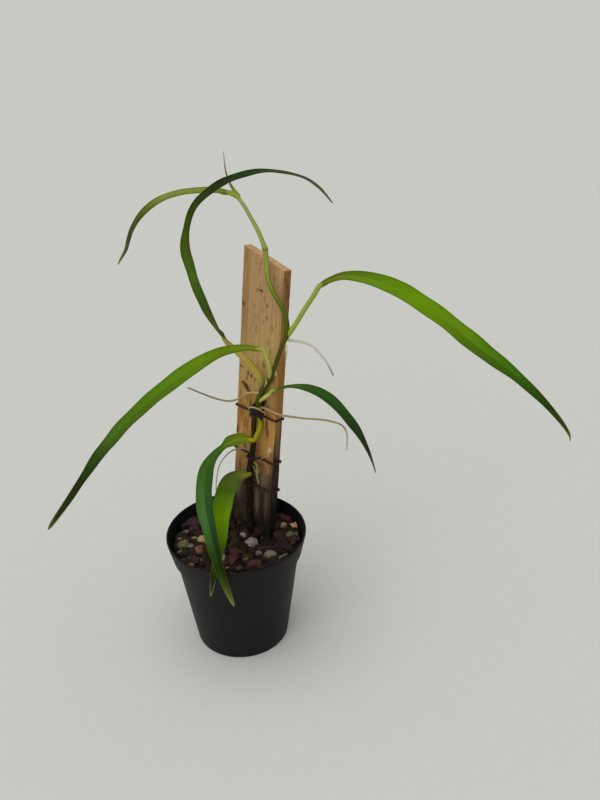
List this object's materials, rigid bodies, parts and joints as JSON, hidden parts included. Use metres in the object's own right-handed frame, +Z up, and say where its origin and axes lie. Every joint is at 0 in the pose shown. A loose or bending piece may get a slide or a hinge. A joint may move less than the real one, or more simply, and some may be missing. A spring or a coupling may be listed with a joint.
{
  "type": "potted philodendron",
  "caption": "Narrow-leaved climbing philodendron tied with wire to a bare wooden plank, rooted in chunky mix in a round dark nursery pot.",
  "frame": {"origin": "centre of the underside of the pot's base, on the surface it stands on", "axes": "+Z up; +X to the viewer's right; +Y away from the viewer"},
  "size_m": [0.3108, 0.118, 0.307],
  "materials": {
    "pot_plastic": "charcoal injection-moulded polypropylene, matte with a faint sheen",
    "potting_mix": "damp dark chunky mix of fine bark and peat",
    "plank_wood": "bare sawn softwood, tan and dry above, dark and wet below",
    "stem_bark": "dark brown at the foot, green and smooth above",
    "stalk_skin": "smooth pale yellow-green skin",
    "leaf_skin": "smooth semi-gloss green skin with a fine midrib",
    "aerial_root": "thin tan root, dry and matte",
    "feeder_root": "pale fleshy root",
    "tie_wire": "dark brown plastic-coated garden wire",
    "bark_chip": "purplish and reddish brown bark chips, rough",
    "pebble": "olive and orange-brown rounded grit",
    "perlite": "cream-white expanded perlite, pitted"
  },
  "bodies": {
    "root": {"aerial_root_back_left": "aerial_root", "aerial_root_down": "aerial_root", "aerial_root_edge": "aerial_root", "aerial_root_left": "aerial_root", "aerial_root_right": "aerial_root", "aerial_root_upper": "aerial_root", "aerial_root_wrap": "aerial_root", "bark_back": "bark_chip", "bark_back_right": "bark_chip", "bark_crimson": "bark_chip", "bark_dark_inner": "bark_chip", "bark_dark_left": "bark_chip", "bark_dark_middle": "bark_chip", "bark_dark_red": "bark_chip", "bark_grey_brown": "bark_chip", "bark_peach": "bark_chip", "bark_pink_brown": "bark_chip", "bark_plum": "bark_chip", "bark_purple": "bark_chip", "bark_red_purple": "bark_chip", "blade_arching": "leaf_skin", "blade_front_long": "leaf_skin", "blade_front_low": "leaf_skin", "blade_left_long": "leaf_skin", "blade_right_high": "leaf_skin", "blade_right_short": "leaf_skin", "blade_top": "leaf_skin", "feeder_root_front": "feeder_root", "feeder_root_left": "feeder_root", "feeder_root_right": "feeder_root", "new_leaf": "stalk_skin", "pebble_olive_left": "pebble", "pebble_olive_right": "pebble", "pebble_orange": "pebble", "pebble_pink": "pebble", "perlite_back": "perlite", "perlite_bead": "perlite", "perlite_large": "perlite", "perlite_long": "perlite", "perlite_pair": "perlite", "perlite_right": "perlite", "perlite_small": "perlite", "plank": "plank_wood", "pot": "pot_plastic", "potting_mix": "potting_mix", "stalk_arching": "stalk_skin", "stalk_front_long": "stalk_skin", "stalk_front_low": "stalk_skin", "stalk_left_long": "stalk_skin", "stalk_right_high": "stalk_skin", "stalk_right_short": "stalk_skin", "stalk_top": "stalk_skin", "stem": "stem_bark", "tie_high": "tie_wire", "tie_low": "tie_wire", "tie_middle": "tie_wire"}
  },
  "joints": []
}
